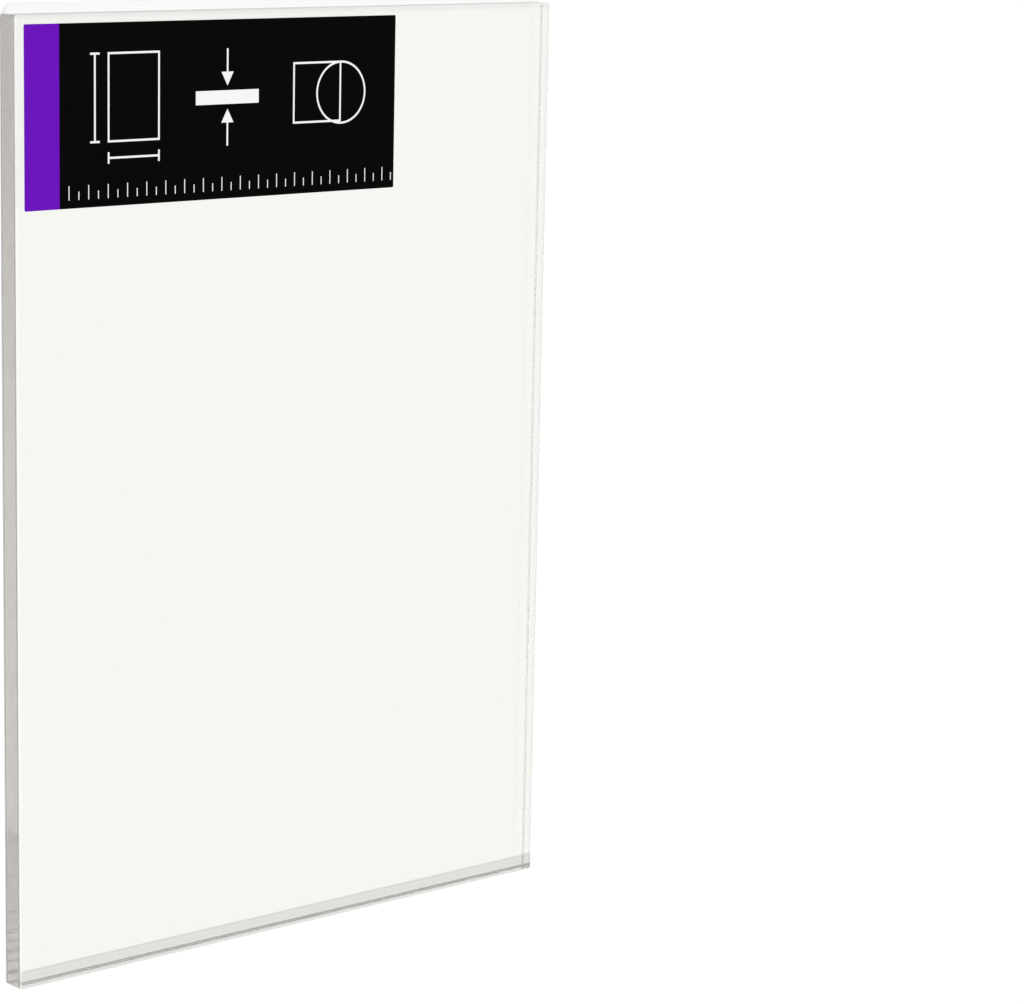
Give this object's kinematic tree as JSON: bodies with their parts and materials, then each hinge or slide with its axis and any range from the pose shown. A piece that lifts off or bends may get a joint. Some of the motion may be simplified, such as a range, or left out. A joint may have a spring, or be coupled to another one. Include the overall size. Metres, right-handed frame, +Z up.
{
  "type": "clear acrylic sheet",
  "caption": "Flat rectangular sheet of clear acrylic with sawn, arrised edges and a plain product label near a corner, for glazing, framing and cutting.",
  "frame": {"origin": "middle of the underside, where the sheet lies on the floor", "axes": "+X across the width towards the side away from the label, +Y along the length towards the label, +Z up out of the labelled face"},
  "size_m": [0.297, 0.42, 0.0121],
  "materials": {
    "clear_acrylic": "polished faces, sawn edges",
    "printed_label": "satin film"
  },
  "bodies": {
    "root": {"sheet": "clear_acrylic", "label": "printed_label"}
  },
  "joints": []
}
